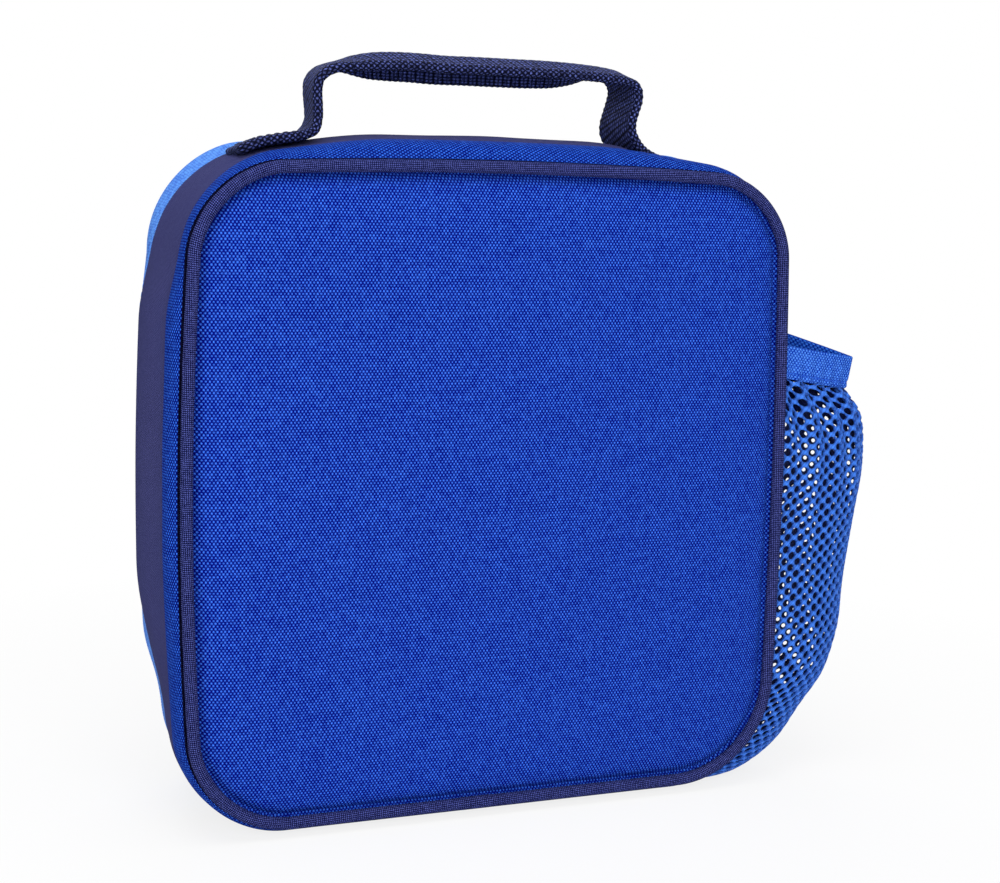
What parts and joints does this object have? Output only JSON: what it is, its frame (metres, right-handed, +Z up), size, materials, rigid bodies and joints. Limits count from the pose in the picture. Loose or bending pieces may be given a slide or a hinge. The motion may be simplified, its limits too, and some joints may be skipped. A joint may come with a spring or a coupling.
{
  "type": "lunch box",
  "caption": "Soft insulated lunch box with a padded rear panel, a zipped lid that folds down, a folded webbing handle on top and a net bottle pocket on one side.",
  "frame": {"origin": "middle of the flat base, on the ground", "axes": "+X to the side with the net pocket, +Y from the rear panel to the lid, +Z up"},
  "size_m": [0.2736, 0.084, 0.2605],
  "materials": {
    "royal_cloth": "fine plain weave",
    "navy_cloth": "fine twill",
    "azure_cloth": "fine twill",
    "navy_piping": "corded bias tape",
    "foam": "closed-cell foam",
    "lining": "smooth wipe-clean film",
    "binding": "woven tape",
    "azure_tape": "knitted zip tape",
    "azure_coil": "moulded coil",
    "slider_metal": "satin paint",
    "webbing": "ribbed webbing",
    "net": "open knitted net",
    "elastic": "folded elastic"
  },
  "bodies": {
    "box": {"back_panel": "royal_cloth", "back_foam": "foam", "back_lining": "lining", "back_piping": "navy_piping", "back_seam_binding": "binding", "rear_gusset": "royal_cloth", "gusset_band": "navy_cloth", "gusset_foam": "foam", "gusset_lining": "lining", "bottom_panel": "navy_cloth", "bottom_foam": "foam", "bottom_lining": "lining", "base_zip_tape": "azure_tape", "base_zip_coil": "azure_coil", "handle_foot_left": "webbing", "handle_foot_right": "webbing", "pocket_net": "net", "pocket_elastic": "elastic"},
    "lid": {"front_panel": "royal_cloth", "front_foam": "foam", "front_lining": "lining", "front_piping": "navy_piping", "front_seam_binding": "binding", "lid_gusset": "azure_cloth", "lid_gusset_foam": "foam", "lid_gusset_lining": "lining", "lid_zip_tape": "azure_tape", "lid_zip_coil": "azure_coil"},
    "left_slider": {"left_slider": "slider_metal"},
    "right_slider": {"right_slider": "slider_metal"},
    "left_pull": {"left_pull": "slider_metal"},
    "right_pull": {"right_pull": "slider_metal"},
    "handle": {"handle_loop": "webbing"}
  },
  "joints": [
    {"name": "lid_hinge", "type": "hinge", "parent": "box", "child": "lid", "pos_m": [0, 0.038, 0.00305], "axis": [-1, 0, 0], "range_deg": [0, 85]},
    {"name": "left_slider_slide", "type": "slide", "parent": "box", "child": "left_slider", "axis": [-1, 0, 0], "range_m": [0, 0.035]},
    {"name": "right_slider_slide", "type": "slide", "parent": "box", "child": "right_slider", "axis": [1, 0, 0], "range_m": [0, 0.035]},
    {"name": "left_pull_turn", "type": "hinge", "parent": "left_slider", "child": "left_pull", "pos_m": [-0.0075, 0.01, 0.23195], "axis": [0, 1, 0], "range_deg": [0, 100]},
    {"name": "right_pull_turn", "type": "hinge", "parent": "right_slider", "child": "right_pull", "pos_m": [0.0075, 0.01, 0.23195], "axis": [0, -1, 0], "range_deg": [0, 100]},
    {"name": "handle_tilt", "type": "hinge", "parent": "box", "child": "handle", "pos_m": [-0.0045, -0.012, 0.23445], "axis": [1, 0, 0], "range_deg": [-30, 30], "stiffness_Nm_per_rad": 0.02}
  ]
}
